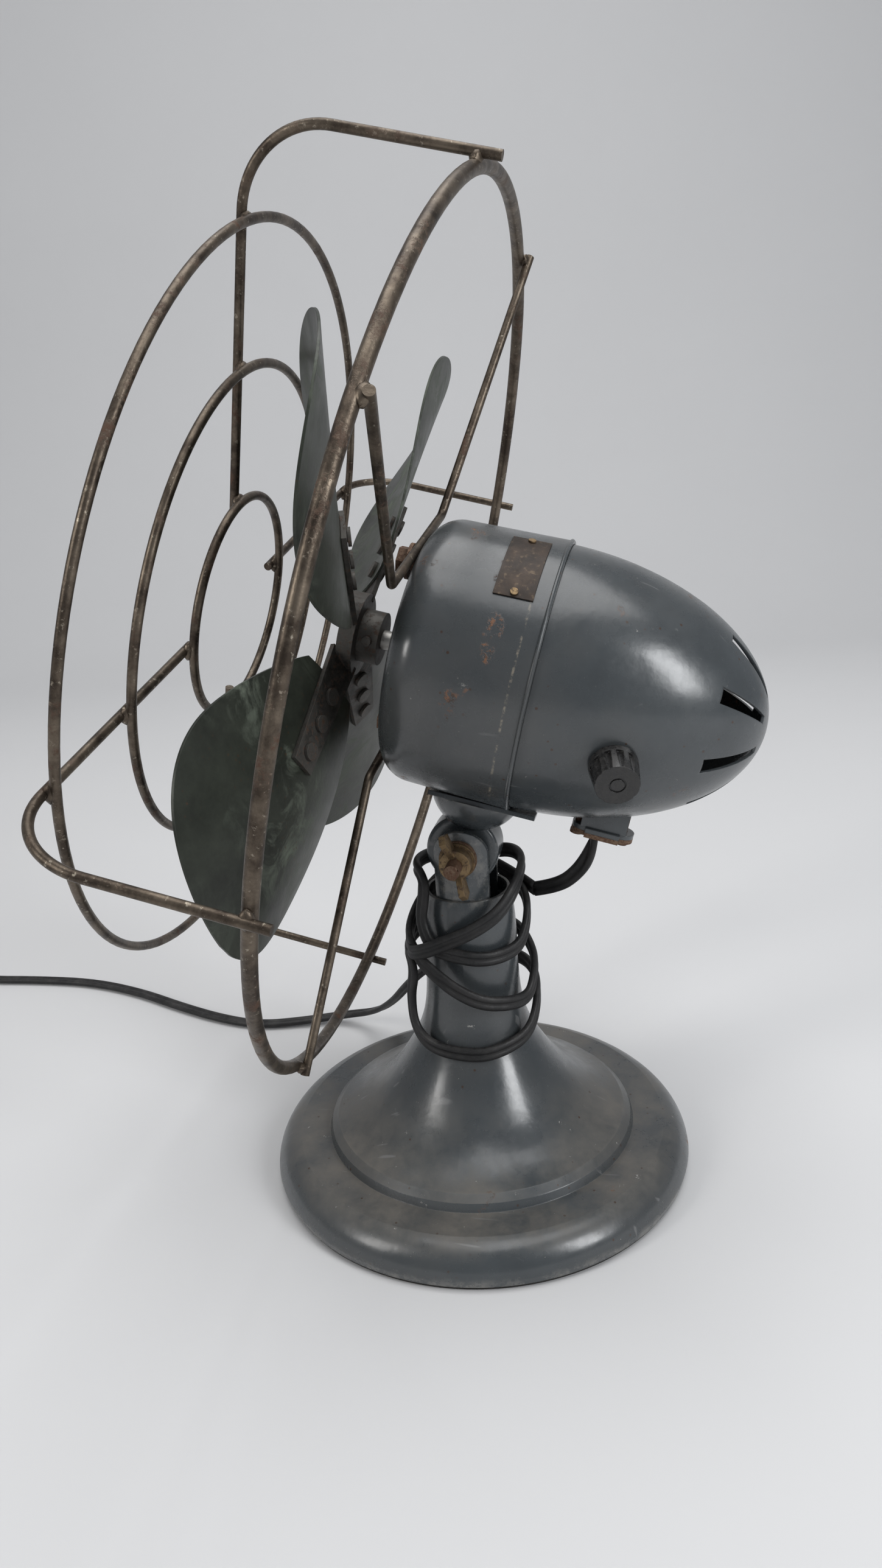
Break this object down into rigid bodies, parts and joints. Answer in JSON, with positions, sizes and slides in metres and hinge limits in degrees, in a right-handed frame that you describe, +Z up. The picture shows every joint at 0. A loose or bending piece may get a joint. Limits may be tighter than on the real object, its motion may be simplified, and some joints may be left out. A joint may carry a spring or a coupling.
{
  "type": "desk fan",
  "caption": "Vintage desk fan: tilting bullet motor on a round cast base, four wide blades in an open wire guard, cord wrapped on the neck.",
  "frame": {"origin": "centre of the underside of the base, on the table", "axes": "+Z up; the fan blows towards -Y; the pivot bolt and its wing nut point to +X"},
  "size_m": [0.3534, 0.5877, 0.4197],
  "materials": {
    "enamel": "blue-grey baked enamel, worn, with rust specks",
    "felt": "pressed felt",
    "plated_steel": "dull zinc plate",
    "rusty_steel": "rusted steel",
    "brass": "tarnished brass",
    "dark_steel": "dark painted or oiled steel",
    "copper_winding": "varnished copper windings",
    "bronze": "sintered bronze",
    "blade_patina": "dark green-black patina with pale blooms",
    "guard_wire": "worn brass plate over steel wire",
    "bakelite": "black phenolic moulding",
    "phenolic": "brown phenolic",
    "plate_brown": "bare brown lacquered plate",
    "cord_rubber": "black rubber-covered cord"
  },
  "bodies": {
    "stand": {"base_casting": "enamel", "bottom_cover": "plated_steel", "cord_coil": "cord_rubber", "cord_lead": "cord_rubber", "cord_run": "cord_rubber", "cord_wrap": "cord_rubber", "cover_screws": "plated_steel", "felt_ring": "felt", "fork": "enamel", "pivot_bolt": "rusty_steel", "pivot_washers": "rusty_steel", "plug_body": "bakelite", "plug_pins": "brass", "tie_bar": "plated_steel", "tie_nuts": "plated_steel", "tie_stud": "plated_steel"},
    "head": {"knuckle": "enamel", "saddle_strap": "enamel", "front_housing": "enamel", "rear_housing": "enamel", "nameplate": "plate_brown", "nameplate_rivets": "brass", "front_bearing": "bronze", "rear_bearing": "bronze", "rear_bearing_bracket": "dark_steel", "stator_core": "dark_steel", "stator_windings": "copper_winding", "through_bolts": "plated_steel", "bracket_spacers": "plated_steel", "switch_body": "phenolic", "guard_ring_rear": "guard_wire", "guard_ring_outer": "guard_wire", "guard_ring_middle": "guard_wire", "guard_ring_inner": "guard_wire", "guard_spoke_1": "guard_wire", "guard_spoke_2": "guard_wire", "guard_spoke_3": "guard_wire", "guard_spoke_4": "guard_wire", "guard_support_upper": "guard_wire", "guard_support_lower": "guard_wire", "guard_screws": "rusty_steel", "guard_washers": "rusty_steel", "gland_seat": "enamel", "gland_plate": "enamel", "gland_clamp": "rusty_steel", "gland_screws": "rusty_steel", "cord_bushing": "cord_rubber"},
    "rotor": {"shaft": "plated_steel", "rotor_core": "dark_steel", "thrust_collars": "plated_steel", "hub": "dark_steel", "hub_set_screw": "dark_steel", "spider": "dark_steel", "blade_1": "blade_patina", "blade_2": "blade_patina", "blade_3": "blade_patina", "blade_4": "blade_patina", "blade_rivets": "dark_steel"},
    "knob": {"switch_knob": "bakelite", "switch_spindle": "brass"},
    "wing": {"wing_nut": "brass"}
  },
  "joints": [
    {"name": "head_tilt", "type": "hinge", "parent": "stand", "child": "head", "pos_m": [0, 0, 0.151], "axis": [-1, 0, 0], "range_deg": [-12, 30], "deforming": ["cord_lead"]},
    {"name": "rotor_spin", "type": "hinge", "parent": "head", "child": "rotor", "pos_m": [0, 0.0202, 0.22773], "axis": [0, -0.967, 0.2546], "continuous": true},
    {"name": "knob_turn", "type": "hinge", "parent": "head", "child": "knob", "pos_m": [0.04777, 0.06603, 0.2015], "axis": [0.9325, 0.1668, -0.3204], "range_deg": [0, 120]},
    {"name": "wing_nut_turn", "type": "hinge", "parent": "stand", "child": "wing", "pos_m": [0.025, 0, 0.151], "axis": [1, 0, 0], "continuous": true}
  ]
}
